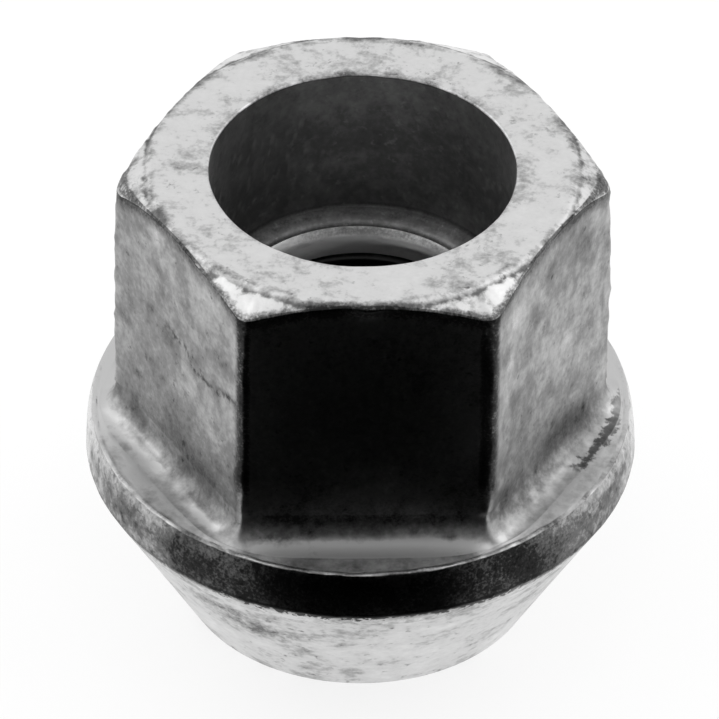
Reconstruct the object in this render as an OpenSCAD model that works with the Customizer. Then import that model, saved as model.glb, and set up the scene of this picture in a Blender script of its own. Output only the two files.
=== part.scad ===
// Open-ended wheel lug nut, forged in one piece: a hexagon that grows out of a
// round collar, a conical seat under the collar, and a wide recess in the open
// end that leads down to the thread. The nut stands on the foot, the small end
// of its seat, with the axis on +Z and one flat of the hexagon facing -Y.

/* [Nut] */
// Height from the foot to the open end
nut_h = 23; // [18:0.5:40]

/* [Thread] */
// Nominal diameter of the thread
thread_d = 12; // [10:0.5:14]
// Pitch of the thread
thread_pitch = 1.5; // [1:0.25:1.75]
// How far beyond the thread the lead-in opens at the foot, on each side
lead_in = 0.2; // [0.1:0.05:0.6]

/* [Hexagon] */
// Size across the flats
hex_af = 19; // [17:0.5:20]
// Radius that rounds the six upright corners
hex_corner_r = 0.3; // [0.1:0.1:0.6]
// How far inside the flats the top chamfer begins
chamfer_inset = 0.2; // [0.1:0.05:0.5]
// Slope of the top chamfer below the horizontal
chamfer_angle = 30; // [15:1:45]
// Radius of the fillet between each flat and the collar
flat_fillet_r = 1; // [0.4:0.1:1.2]

/* [Collar] */
// Diameter at which the collar and the seat would meet in a sharp edge
collar_d = 24.5; // [24:0.1:28]
// How far the collar's side leans in on its way up to the top edge
collar_draft = 0.3; // [0.1:0.1:0.6]
// Height of the collar above that sharp edge
collar_h = 2.1; // [1:0.1:4]
// Radius that rounds the collar into the seat
collar_round_r = 0.4; // [0.1:0.1:1]

/* [Seat] */
// Included angle of the conical seat
seat_angle = 60; // [50:1:90]
// Wall of the foot outside the thread
foot_wall = 1.85; // [1.2:0.05:2.4]
// Radius that rounds the edge of the foot
foot_round_r = 0.15; // [0.05:0.05:0.5]

/* [Recess] */
// Clearance that the recess leaves around the thread
recess_clearance = 0.75; // [0.5:0.05:1.5]
// Depth of the recess down to the end of its straight wall
recess_depth = 7.3; // [2:0.1:10]
// Bevel on the mouth of the recess
mouth_bevel = 0.1; // [0.05:0.05:0.5]
// Slope of the recess's conical floor below the horizontal
floor_slope = 45; // [20:1:60]
// Width of the ledge around the upper end of the thread
ledge_w = 0.2; // [0.1:0.05:0.4]

/* [Hidden] */
$fn = 96;
zinc_grey = [0.66, 0.66, 0.65];
flats = 6;
// Straight steps along each rounded corner of an outline
round_steps = 5;
// How far a cutting or joining shape runs past the face that it meets
over = 1;

// A 60 degree thread's minor diameter is its nominal one less 1.0825 pitches
minor_r = (thread_d - 1.0825 * thread_pitch) / 2;
lead_in_r = thread_d / 2 + lead_in;

hex_corner_d = hex_af / cos(180 / flats);
chamfer_r = hex_af / 2 - chamfer_inset;
chamfer_drop = (hex_corner_d / 2 - chamfer_r) * tan(chamfer_angle);
cove_sink = hex_corner_r / 5;

foot_r = thread_d / 2 + foot_wall;
seat_h = (collar_d / 2 - foot_r) / tan(seat_angle / 2);
collar_top = seat_h + collar_h;
collar_edge_r = collar_d / 2 - collar_draft;

recess_r = thread_d / 2 + recess_clearance;
recess_floor = nut_h - recess_depth;
ledge_r = thread_d / 2;
ledge_z = recess_floor - (recess_r - ledge_r) * tan(floor_slope);

function unit(v) = v / norm(v);

// The arc of radius r that rounds the corner b of an outline, from the edge that
// comes from a to the edge that goes on to c, with the outline running
// anticlockwise and the corner pointing out
function rounded(a, b, c, r) =
    let (to_a = unit(a - b),
         to_c = unit(c - b),
         half_angle = acos(to_a * to_c) / 2,
         centre = b + unit(to_a + to_c) * r / sin(half_angle),
         first = b + to_a * r / tan(half_angle) - centre,
         start = atan2(first[1], first[0]),
         sweep = 180 - 2 * half_angle)
    [for (i = [0:round_steps])
        centre + r * [cos(start + sweep * i / round_steps), sin(start + sweep * i / round_steps)]];

// The hexagon seen from above, with its six corners rounded
module hex_outline() {
    corners = [for (i = [0:flats - 1])
        hex_corner_d / 2 * [cos(i * 360 / flats), sin(i * 360 / flats)]];
    polygon([for (i = [0:flats - 1])
        each rounded(corners[(i + flats - 1) % flats], corners[i],
                     corners[(i + 1) % flats], hex_corner_r)]);
}

// The hexagon standing on the collar, its upper corners cut by the chamfer
module hex_body() {
    intersection() {
        translate([0, 0, seat_h]) linear_extrude(nut_h - seat_h) hex_outline();
        rotate_extrude() polygon([
            [0, seat_h],
            [hex_corner_d / 2, seat_h],
            [hex_corner_d / 2, nut_h - chamfer_drop],
            [chamfer_r, nut_h],
            [0, nut_h]
        ]);
    }
}

// The six coves between the flats and the collar, which meet at mitres: a wider
// hexagon with a round groove along each side, kept within the collar's top edge.
// The grooves sink a little into the flats and the collar, so that the coves meet
// them in clear edges and their mitres end on the rounded corners.
module flat_fillets() {
    cove_reach = flat_fillet_r - cove_sink;
    cove_foot = hex_af / 2 + cove_reach;
    cove_top = collar_top + cove_reach;
    intersection() {
        difference() {
            translate([0, 0, seat_h])
                cylinder(h = cove_top - seat_h, d = 2 * cove_foot / cos(180 / flats), $fn = flats);
            for (i = [0:flats - 1])
                rotate([90, 0, (i + 0.5) * 360 / flats]) translate([cove_foot, cove_top, 0])
                    cylinder(h = 2 * hex_af, r = flat_fillet_r, center = true);
        }
        cylinder(h = nut_h, r = collar_edge_r);
    }
}

// The collar and the seat, turned about the axis
module collar_and_seat() {
    foot_edge = [foot_r, 0];
    seat_edge = [collar_d / 2, seat_h];
    top_edge = [collar_edge_r, collar_top];
    rotate_extrude() polygon([
        [0, 0],
        each rounded([0, 0], foot_edge, seat_edge, foot_round_r),
        each rounded(foot_edge, seat_edge, top_edge, collar_round_r),
        top_edge,
        [0, collar_top]
    ]);
}

// The hole through the nut: the lead-in, the thread at its minor diameter, the
// ledge, the recess's conical floor and the recess itself
module bore() {
    rotate_extrude() polygon([
        [0, -over],
        [lead_in_r + over, -over],
        [minor_r, lead_in_r - minor_r],
        [minor_r, ledge_z - (ledge_r - ledge_w - minor_r)],
        [ledge_r - ledge_w, ledge_z],
        [ledge_r, ledge_z],
        [recess_r, recess_floor],
        [recess_r, nut_h - mouth_bevel],
        [recess_r + mouth_bevel + over, nut_h + over],
        [0, nut_h + over]
    ]);
}

module lug_nut() {
    color(zinc_grey) difference() {
        union() {
            collar_and_seat();
            hex_body();
            flat_fillets();
        }
        bore();
    }
}

lug_nut();
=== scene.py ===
import bpy
import math
import numpy as np
from mathutils import Matrix, Vector, noise


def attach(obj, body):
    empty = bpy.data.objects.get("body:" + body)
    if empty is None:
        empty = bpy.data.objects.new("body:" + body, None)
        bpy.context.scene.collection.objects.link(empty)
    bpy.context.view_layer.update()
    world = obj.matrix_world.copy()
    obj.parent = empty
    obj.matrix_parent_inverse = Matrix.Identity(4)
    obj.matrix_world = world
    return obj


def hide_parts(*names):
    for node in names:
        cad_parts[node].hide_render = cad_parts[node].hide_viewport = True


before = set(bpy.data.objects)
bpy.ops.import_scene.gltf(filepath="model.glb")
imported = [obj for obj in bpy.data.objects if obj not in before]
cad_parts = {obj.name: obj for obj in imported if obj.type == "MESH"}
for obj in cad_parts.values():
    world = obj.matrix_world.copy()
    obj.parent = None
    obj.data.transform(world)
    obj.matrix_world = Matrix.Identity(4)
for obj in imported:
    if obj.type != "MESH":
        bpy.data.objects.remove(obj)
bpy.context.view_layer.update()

mm = 0.001
tau = 2 * math.pi
sixth = tau / 6


# helpers
def hexToLinear(code):
    parts = [int(code[i:i + 2], 16) / 255 for i in (1, 3, 5)]
    return [p / 12.92 if p <= 0.04045 else ((p + 0.055) / 1.055) ** 2.4 for p in parts] + [1]


def addNode(tree, kind, settings, inputs):
    # inputs go by name, or in the sockets' order; a node among them stands for its first output
    made = tree.nodes.new("ShaderNode" + kind)
    for name, value in settings.items():
        setattr(made, name, value)
    pairs = inputs.items() if isinstance(inputs, dict) else enumerate(inputs)
    for name, value in pairs:
        if isinstance(value, bpy.types.Node):
            value = value.outputs[0]
        if isinstance(value, bpy.types.NodeSocket):
            tree.links.new(value, made.inputs[name])
        else:
            made.inputs[name].default_value = value
    return made


# settings of the math nodes
multiplyAdd = {"operation": "MULTIPLY_ADD"}
multiply = {"operation": "MULTIPLY"}
addUp = {"operation": "ADD"}
subtract = {"operation": "SUBTRACT"}
absolute = {"operation": "ABSOLUTE"}


def newMaterial(name):
    material = bpy.data.materials.new(name)
    material.use_nodes = True
    material.node_tree.nodes.clear()
    return material, material.node_tree


def smooth(low, high, value):
    t = np.clip((value - low) / (high - low), 0, 1)
    return t * t * (3 - 2 * t)


def fade(span, value):
    # two places: none at the first, all at the second; four: up over two and down again over two
    risen = smooth(span[0], span[1], value)
    return risen if len(span) == 2 else risen * smooth(span[3], span[2], value)


# the nut's sizes, in millimetres; reaches round the axis are in radians
nutSpec = {
    "height": 23,
    "flatDist": 9.5,  # axis to flat
    "cornerRound": 0.5,  # upright corners
    "frontRound": 0.3,  # the two beside the front flat
    "frontReach": 0.25,  # how far round from those two
    "cornerWorn": 0.95,  # all corners at the top, where the die wasn't filled
    "tipWorn": 1.5,  # the same at the left and right corners
    "tipReach": 0.35,
    "wornSpan": (19.5, 22.4),   # heights over which the corners become the worn ones
    "topFlat": 9.12,  # where the end face begins to fall away
    "shoulder": 0.85,  # radius of the fall into the chamfer
    "chamferSlope": 31,
    "crease": (9.63, 0.14, 0.02),   # fold between shoulder and chamfer: radius, half width, depth
    "endFace": (7.05, 8.97),  # first and last row of the flat end
    "edgeRound": 0.09,  # edge between chamfer and flat
    "tipRound": 0.5,  # the same edge at the left and right corners
    "tipRoundReach": 0.14,
    "browArc": (75, 35),
    "edgeArc": (22, 0),
    "flatTop": (0.3, 1.1, 1.4),  # rows of the flat, down from the top: close ones, then wide ones
    "flatFoot": (1.6, 1.35, 0.1),   # the same up from the cove: last wide one, then close ones
    "edgeGap": 0.05,  # between the edge and the flat's first row
    "coveReach": 1.3,  # the cove from flat to collar, a soft curve with equal legs
    "coveSpread": 0.7,  # what its corners gain in radius for each millimetre out
    "coveInset": 0.12,  # it stays this far inside the collar's edge
    "collarTop": 9.78,  # at the foot of the cove
    "collarFirst": 0.1,  # first row outside the cove
    "collarFall": 0.05,  # from the cove down to the edge
    "collarEdge": 11.72,  # inside foot of the flash that the dies left
    "flash": [(11.78, 9.727), (11.83, 9.723), (11.88, 9.715), (11.93, 9.697)],
    "band": [(11.98, 9.68), (12.04, 9.52), (12.09, 9.33), (12.135, 9.08), (12.17, 8.8), (12.195, 8.5),
             (12.21, 8.2), (12.215, 7.95)],
    "seatEdge": (12.24, 7.6),
    "seatRound": 0.42,
    "footRadius": 7.93,
    "footRound": 0.12,
    "footInset": 0.25,
    "leadIn": 6.2,
    "leadInStep": 0.08,
    "recessRadius": 6.75,
    "recessFloor": 15.7,
    "recessWall": (15.8, 22.83),  # first and last row of the straight wall
    "rimRound": 0.12,
    "rimArc": (170, 95),
    # the hole's leaning mouth and the bevel above it, the groove round them and the floor up to the wall
    "lip": [(5.2, 14.06), (5.235, 14.25), (5.27, 14.42), (5.305, 14.56), (5.34, 14.68), (5.38, 14.78),
            (5.425, 14.865), (5.48, 14.94), (5.54, 15.01), (5.6, 15.08), (5.66, 15.145), (5.7, 15.18)],
    "groove": [(5.73, 15.17), (5.765, 15.08), (5.85, 15.08), (5.89, 15.17)],
    "floorSlope": ((5.97, 15.26), (6.55, 15.48)),
    "floorRound": 0.3,
    "floorArc": (-40, -8),
    "threadMajor": 6.0,
    "threadPitch": 1.5,
    "threadHeight": 0.54125,  # as a share of the pitch
    "threadBottom": 0.15,  # the thread runs out into the lead-in here
    "threadTop": 14.0,
    "threadFade": (1.5, 0.05),  # below its top, where it runs out under the lip
    "columnsPerFlat": 54,
    "crowding": 0.7,  # draws the columns towards the corners
}

# steps along each stretch of the outline
rowSteps = {
    "floor": 6, "floorRound": 3, "recess": 22, "rim": 4, "end": 8, "chamfer": 16, "brow": 4, "edge": 2,
    "flatTop": 5, "flat": 24, "flatFoot": 6, "cove": 10, "collar": 6, "bend": 6, "heel": 4, "seat": 26,
    "foot": 3,
}

# one turn of the thread: share of the pitch, share of the depth
threadForm = [(0, 0), (0.125, 0), (0.25, 0), (0.4, 0.48), (0.5625, 1), (0.625, 1), (0.6875, 1), (0.85, 0.48)]


def arcPoints(middle, radius, fromDeg, toDeg, steps):
    turns = [math.radians(fromDeg + (toDeg - fromDeg) * i / steps) for i in range(steps + 1)]
    return [(middle[0] + radius * math.cos(t), middle[1] + radius * math.sin(t)) for t in turns]


def linePoints(start, end, steps):
    return [(start[0] + (end[0] - start[0]) * i / steps, start[1] + (end[1] - start[1]) * i / steps)
            for i in range(steps + 1)]


def roundedCorner(before, corner, after, radius, steps):
    a = (Vector(before) - Vector(corner)).normalized()
    b = (Vector(after) - Vector(corner)).normalized()
    half = a.angle(b) / 2
    middle = Vector(corner) + (a + b).normalized() * radius / math.sin(half)
    first = Vector(corner) + a * radius / math.tan(half) - middle
    last = Vector(corner) + b * radius / math.tan(half) - middle
    turn = first.angle_signed(last)  # clockwise is positive
    start = math.degrees(math.atan2(first.y, first.x))
    return arcPoints(middle, radius, start, start - math.degrees(turn), steps)


def endFaceHeight(spec, r):
    # the end face is flat, rounds over its shoulder and falls to the corners as a cone
    slope = math.radians(spec["chamferSlope"])
    reach = spec["shoulder"] * math.sin(slope)
    over = np.clip(r - spec["topFlat"], 0, None)
    inRound = np.minimum(over, reach)
    drop = spec["shoulder"] - np.sqrt(spec["shoulder"] ** 2 - inRound ** 2)
    fold, width, depth = spec["crease"]
    groove = depth * np.exp(-((r - fold) / width) ** 2)
    return spec["height"] - drop - np.clip(over - reach, 0, None) * math.tan(slope) - groove


def hexRadius(turn, flatDist, cornerRound):
    # distance from the axis to a hexagon with rounded corners, which lie at 0, 60, 120 ... degrees
    fromCorner = np.abs((turn + sixth / 2) % sixth - sixth / 2)
    fromFlat = sixth / 2 - fromCorner
    hub = (flatDist - cornerRound) / math.cos(sixth / 2)
    bend = np.sqrt(np.clip(cornerRound ** 2 - (hub * np.sin(fromCorner)) ** 2, 0, None))
    tangent = np.arctan((flatDist - cornerRound) * math.tan(sixth / 2) / flatDist)
    return np.where(fromFlat > tangent, hub * np.cos(fromCorner) + bend, flatDist / np.cos(fromFlat))


def nutOutline(spec, steps):
    # half section through the middle of a flat, walked round once: part name, radius, height
    rows = []

    def walk(part, points):
        rows.extend((part, r, z) for r, z in points)

    top = spec["height"]
    flat = spec["flatDist"]
    wall = spec["recessRadius"]
    minor = spec["threadMajor"] - spec["threadHeight"] * spec["threadPitch"]
    turns = (spec["threadTop"] - spec["threadBottom"]) / spec["threadPitch"] + 1
    threadRows = int(turns * len(threadForm)) + len(threadForm)
    walk("thread", linePoints((minor, spec["threadBottom"]), (minor, spec["threadTop"]), threadRows - 1))

    # lip, groove, floor and wall of the recess
    bend = spec["floorRound"]
    wallFoot, wallTop = spec["recessWall"]
    walk("lip", spec["lip"])
    walk("floor", spec["groove"])
    walk("floor", linePoints(*spec["floorSlope"], steps["floor"]))
    walk("floor", arcPoints((wall - bend, spec["recessFloor"]), bend, *spec["floorArc"], steps["floorRound"]))
    walk("recess", linePoints((wall, wallFoot), (wall, wallTop), steps["recess"]))

    # rim and end face
    rim = spec["rimRound"]
    edge = spec["edgeRound"]
    faceFrom, faceTo = spec["endFace"]
    walk("rim", arcPoints((wall + rim, top - rim), rim, *spec["rimArc"], steps["rim"]))
    walk("end", linePoints((faceFrom, top), (faceTo, top), steps["end"]))
    walk("chamfer", linePoints((spec["topFlat"], top), (flat - edge, top), steps["chamfer"]))
    for part in ("brow", "edge"):
        walk(part, arcPoints((flat - edge, top - edge), edge, *spec[part + "Arc"], steps[part]))

    # flat, cove and collar
    reach = spec["coveReach"]
    foot = spec["collarTop"]
    heights = [top - down for down in spec["flatTop"]] + [foot + reach + up for up in spec["flatFoot"]]
    for i, stretch in enumerate(("flatTop", "flat", "flatFoot")):
        walk("flat", linePoints((flat, heights[2 * i]), (flat, heights[2 * i + 1]), steps[stretch]))
    for i in range(steps["cove"] + 1):
        t = i / steps["cove"]
        walk("cove", [(flat + reach * t * t, foot + reach * (1 - t) ** 2)])
    collarEnd = (spec["collarEdge"], foot - spec["collarFall"])
    walk("collar", linePoints((flat + reach + spec["collarFirst"], foot), collarEnd, steps["collar"]))
    walk("flash", spec["flash"])

    # band, seat and foot; the skirt is what the band's finish covers of the seat
    heelCorner = (spec["footRadius"], 0)
    bend = roundedCorner(spec["band"][-1], spec["seatEdge"], heelCorner, spec["seatRound"], steps["bend"])
    heel = roundedCorner(spec["seatEdge"], heelCorner, (0, 0), spec["footRound"], steps["heel"])
    slope = linePoints(bend[-1], heel[0], steps["seat"])
    walk("band", spec["band"] + bend[1:4])
    walk("skirt", bend[4:] + slope[1:3])
    walk("seat", slope[3:-1])
    walk("foot", heel)
    walk("foot", linePoints((heel[-1][0] - spec["footInset"], 0), (spec["leadIn"], 0), steps["foot"]))
    walk("foot", [(spec["leadIn"] - spec["leadInStep"], spec["leadInStep"])])
    return rows


def softLimit(r, limit):
    hardness = 50
    return (r ** -hardness + limit ** -hardness) ** (-1 / hardness)


def pressNut(spec, rows, columns):
    # every point of the spun blank, pressed to the hexagon and tapped: radius, height, turn
    steps = np.arange(columns + 1) / spec["columnsPerFlat"]
    share = steps % 1
    turn = (np.floor(steps) + share - spec["crowding"] * np.sin(tau * share) / tau) * sixth
    turn[-1] = tau
    radius = np.zeros((columns + 1, len(rows)))
    height = np.zeros((columns + 1, len(rows)))
    top = spec["height"]
    flat = spec["flatDist"]
    edge = spec["edgeRound"]
    reach = spec["coveReach"]
    coveTop = spec["collarTop"] + reach
    flatFirst = top - spec["flatTop"][0]

    # corner radii round the nut, low down and at the top
    fromTip = np.abs((turn + tau / 4) % (tau / 2) - tau / 4)
    fromFront = np.abs((turn + tau / 4 + tau / 2) % tau - tau / 2)
    tipShare = np.exp(-(fromTip / spec["tipReach"]) ** 2)
    frontShare = np.exp(-((fromFront - sixth / 2) / spec["frontReach"]) ** 2)
    lowRound = spec["cornerRound"] + (spec["frontRound"] - spec["cornerRound"]) * frontShare
    topRound = spec["cornerWorn"] + (spec["tipWorn"] - spec["cornerWorn"]) * tipShare
    topHex = hexRadius(turn, flat, topRound)
    edgeReach = edge + (spec["tipRound"] - edge) * np.exp(-(fromTip / spec["tipRoundReach"]) ** 2)
    edgeHeight = endFaceHeight(spec, topHex) - edgeReach

    def coveRadius(out):
        wide = hexRadius(turn, flat + out, lowRound + spec["coveSpread"] * out)
        return softLimit(wide, spec["collarEdge"] - spec["coveInset"])

    coveFoot = coveRadius(reach)
    threadDepth = spec["threadHeight"] * spec["threadPitch"]
    threadSpan = [spec["threadTop"] - below for below in spec["threadFade"]]
    threadRow = 0
    for i, (part, r, z) in enumerate(rows):
        if part == "thread":
            pitches, depth = threadForm[threadRow % len(threadForm)]
            phase = pitches + threadRow // len(threadForm)
            rise = spec["threadBottom"] + spec["threadPitch"] * (phase + turn / tau - 1)
            z = np.clip(rise, spec["threadBottom"], spec["threadTop"])
            cut = spec["threadMajor"] - threadDepth * (1 - depth * (1 - fade(threadSpan, z)))
            r = np.maximum(cut, spec["leadIn"] - z)
            threadRow += 1
        elif part == "chamfer":
            share = (r - spec["topFlat"]) / (flat - edge - spec["topFlat"])
            r = spec["topFlat"] + share * (topHex - edgeReach - spec["topFlat"])
            z = endFaceHeight(spec, r)
        elif part in ("brow", "edge"):
            sunk = (top - z) / edge * edgeReach
            r = topHex - (flat - r) / edge * edgeReach
            z = endFaceHeight(spec, r) - sunk
        elif part == "flat":
            share = (z - coveTop) / (flatFirst - coveTop)
            z = coveTop + share * (edgeHeight - spec["edgeGap"] - coveTop)
            r = hexRadius(turn, flat, lowRound + (topRound - lowRound) * fade(spec["wornSpan"], z))
        elif part == "cove":
            r = coveRadius(r - flat)
        elif part == "collar":
            share = (r - flat - reach) / (spec["collarEdge"] - flat - reach)
            r = coveFoot + share * (spec["collarEdge"] - coveFoot)
        radius[:, i] = r
        height[:, i] = z
    return radius, height, turn


# roughness of the forging, in millimetres; each pattern has its size and the place it is drawn from
roughSpec = {
    "uneven": {
        "thread": 0, "lip": 0.01, "floor": 0.012, "recess": 0.012, "rim": 0.03, "end": 0.006,
        "chamfer": 0.016, "brow": 0.03, "edge": 0.04, "flat": 0.024, "cove": 0.02, "collar": 0.016,
        "flash": 0.05, "band": 0.024, "skirt": 0.02, "seat": 0.012, "foot": 0,
    },
    "swell": (2.9, (0, 0, 0)),
    "ripple": (0.8, (7, 3, 1)),
    "rippleShare": 0.5,
    "bites": (0.75, (2, 9, 4)),
    "nibbles": (0.32, (6, 1, 8)),
    "nibbleShare": 0.6,
    "biteDepth": 0.09,
    "biteFrom": -0.1,
    "cornerReach": 0.025,  # half width of the ragged upright corners, in radians
    "ragged": {"brow": 0.7, "edge": 0.7, "flash": 0.7, "skirt": 0.35},
    "burr": (0.42, (5, 2, 9)),
    "burrHeight": 0.035,
    # the two front corners are drawn out to the right, less so at the knocks on them
    "drawn": ((1, 0.17), (-1, 0.05)),
    "drawnTurn": (28.5, 30, 31, 48),
    "drawnUp": (10.9, 12.2),
    "drawnOut": (9.3, 10.6),
    "drawnKnock": (13.1, 0.6, 0.85),
    # the lower edge of the band wanders up and down
    "lowEdge": (6.6, 7.3, 7.8, 8.4),
    "lowEdgeMove": 0.09,
    "lowEdgeFrom": 0.2,
    # the hole's bevel lies a little to the left of the recess
    "lipShift": -0.13,
    "lipUp": (14.1, 14.7),
    "lipOut": (6.4, 5.9),
}

# knocks that the nut has taken: place (x, y, z), reach and depth in millimetres; a depth below zero is a burr
knocks = [
    (0.1, -9.5, 22.85, 0.55, 0.22), (-0.9, -9.35, 22.95, 0.3, 0.08), (1.1, -9.4, 22.95, 0.3, 0.08),
    (-5.45, -9.5, 13.1, 0.7, 0.12), (5.5, -9.5, 13.0, 0.6, 0.16), (10.9, 0, 22.0, 0.8, 0.1),
    (-10.9, 0.1, 22.1, 0.8, 0.08), (10.95, -0.1, 16.5, 1.6, 0.06), (10.95, 0, 19.5, 2.2, 0.05),
    (10.95, 0, 13.3, 2.0, 0.05), (5.55, -10.1, 9.95, 0.4, -0.12), (1.2, 6.8, 23, 0.7, 0.06),
    (-1.6, 6.75, 23, 0.6, 0.05), (5.3, 9.4, 17.5, 0.8, 0.1), (-5.6, 9.5, 12.2, 0.7, 0.1),
]


def noiseAt(places, sizeMm, shift):
    # smooth noise from -1 to 1 at every place
    flatList = places.reshape(-1, 3) / sizeMm + np.array(shift)
    values = [noise.noise(Vector(spot)) for spot in flatList]
    return np.array(values).reshape(places.shape[:-1])


def roughenNut(rough, places, rows, turn):
    # pushes the pressed points in and out along their normals, the same on both sides of the seam
    parts = np.array([part for part, r, z in rows])
    ring = places[:-1]
    along = np.roll(ring, -1, axis=0) - np.roll(ring, 1, axis=0)
    across = np.roll(ring, -1, axis=1) - np.roll(ring, 1, axis=1)
    normal = np.cross(along, across)
    normal /= np.maximum(np.linalg.norm(normal, axis=2, keepdims=True), 1e-9)
    free = ~np.isin(parts, ("thread", "foot"))
    amount = np.array([rough["uneven"][part] for part in parts])
    amount = free * (np.roll(amount, 1) + 2 * amount + np.roll(amount, -1)) / 4
    push = amount * (noiseAt(ring, *rough["swell"]) + rough["rippleShare"] * noiseAt(ring, *rough["ripple"]))

    # ragged upright corners and edges, a burr on the flash, and the knocks
    fromCorner = np.abs((turn[:-1] + sixth / 2) % sixth - sixth / 2)
    ragged = np.exp(-(fromCorner / rough["cornerReach"]) ** 2)[:, None] * (parts == "flat")
    ragged = ragged + np.array([rough["ragged"].get(part, 0) for part in parts])
    bites = noiseAt(ring, *rough["bites"]) + rough["nibbleShare"] * noiseAt(ring, *rough["nibbles"])
    push -= rough["biteDepth"] * ragged * np.clip(bites - rough["biteFrom"], 0, None)
    push += rough["burrHeight"] * (parts == "flash") * noiseAt(ring, *rough["burr"])
    for x, y, up, far, depth in knocks:
        away = np.linalg.norm(ring - np.array((x, y, up)), axis=2) / far
        push -= free * depth * np.exp(-away ** 2)
    moved = ring + normal * push[:, :, None]

    # what is drawn aside or up and down
    z = ring[:, :, 2]
    reach = np.hypot(ring[:, :, 0], ring[:, :, 1])
    fromFront = np.degrees((turn[:-1] + tau / 4 + tau / 2) % tau - tau / 2)[:, None]
    knockUp, knockHalf, knockShare = rough["drawnKnock"]
    tall = np.isin(parts, ("chamfer", "brow", "edge", "flat")) * fade(rough["drawnUp"], z)
    heldBack = 1 - knockShare * np.exp(-((z - knockUp) / knockHalf) ** 2)
    tall = tall * fade(rough["drawnOut"], reach) * heldBack
    for side, drift in rough["drawn"]:
        moved[:, :, 0] += drift * tall * fade(rough["drawnTurn"], side * fromFront)
    low = np.isin(parts, ("band", "skirt", "seat")) * fade(rough["lowEdge"], z)
    moved[:, :, 2] += rough["lowEdgeMove"] * low * (bites - rough["lowEdgeFrom"])
    atLip = np.isin(parts, ("lip", "floor")) * fade(rough["lipUp"], z) * fade(rough["lipOut"], reach)
    moved[:, :, 0] += rough["lipShift"] * atLip
    moved[:, :, 2] = np.clip(moved[:, :, 2], 0, nutSpec["height"])
    return np.concatenate([moved, moved[:1]])


# patterns in the wear and in the painted light and shade: size in millimetres, the place it is drawn from,
# and its stretch upwards
wearAndShadePatterns = {
    "patchy": (1.1, (4, 4, 8), 1), "fine": (0.4, (1, 5, 2), 1), "uprights": (0.32, (3, 3, 3), 0.12),
    "specks": (0.34, (8, 2, 6), 0.7),
}
wearAndShadeMixes = {"evenMix": {"patchy": 0.5, "fine": 0.5}, "coarseMix": {"patchy": 0.6, "fine": 0.4}}
raggedUpShares = {"uprights": 0.7, "patchy": 0.5}  # how far, in millimetres, the edge of the painted shade on the front cove wanders up and down
edgeDirtMm = 0.55  # how far dirt reaches down a flat from its upper edge
dulledByPress = 0.14
wearAndShadeMost = 1.5

# places round the nut that several coats share: what is measured, and where it fades in and out
wearAndShadeZones = {
    "behind": ("fromFront", (80, 100)), "frontEdge": ("fromFront", (34, 28)),
    "nearFront": ("fromFront", (48, 34)),
    "atBack": ("turned", (25, 55, 130, 165)), "atRight": ("turned", (-100, -80, 80, 100)),
}
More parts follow.
